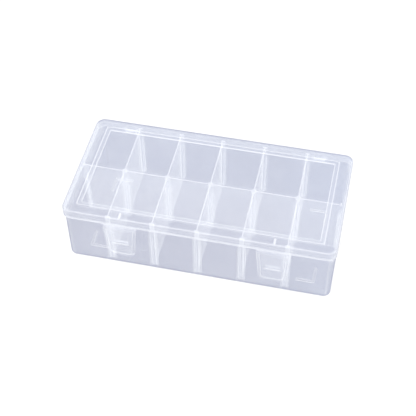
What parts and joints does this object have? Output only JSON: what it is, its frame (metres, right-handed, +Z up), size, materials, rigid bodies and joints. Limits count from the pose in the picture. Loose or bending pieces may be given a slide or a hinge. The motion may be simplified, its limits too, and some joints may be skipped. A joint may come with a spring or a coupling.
{
  "type": "compartment storage box",
  "caption": "Clear lidded box for small craft parts, with removable dividers, a hinged stacking lid and front latch flaps.",
  "frame": {"origin": "on the table, under the middle of the closed box's bounding box", "axes": "+X along the length to the right as seen from the latches, +Y from the latches to the rear hinges, +Z up"},
  "size_m": [0.27, 0.139, 0.0724],
  "materials": {
    "tray_plastic": "clear polypropylene, slightly frosted",
    "lid_plastic": "clear polypropylene, slightly frosted",
    "latch_plastic": "clear polypropylene, slightly frosted",
    "divider_plastic": "clear polypropylene, slightly frosted"
  },
  "bodies": {
    "tray": {"tray": "tray_plastic", "centre_divider": "divider_plastic", "front_divider_1": "divider_plastic", "front_divider_2": "divider_plastic", "front_divider_3": "divider_plastic", "front_divider_4": "divider_plastic", "front_divider_5": "divider_plastic", "back_divider_1": "divider_plastic", "back_divider_2": "divider_plastic", "back_divider_3": "divider_plastic", "back_divider_4": "divider_plastic", "back_divider_5": "divider_plastic"},
    "lid": {"lid": "lid_plastic"},
    "left_latch": {"left_latch": "latch_plastic"},
    "right_latch": {"right_latch": "latch_plastic"}
  },
  "joints": [
    {"name": "lid_hinge", "type": "hinge", "parent": "tray", "child": "lid", "pos_m": [0, 0.0666, 0.05812], "axis": [-1, 0, 0], "range_deg": [0, 180]},
    {"name": "left_latch_hinge", "type": "hinge", "parent": "lid", "child": "left_latch", "pos_m": [-0.0757, -0.06643, 0.0602], "axis": [-1, 0, 0], "range_deg": [0, 100]},
    {"name": "right_latch_hinge", "type": "hinge", "parent": "lid", "child": "right_latch", "pos_m": [0.0757, -0.06643, 0.0602], "axis": [-1, 0, 0], "range_deg": [0, 100]}
  ]
}
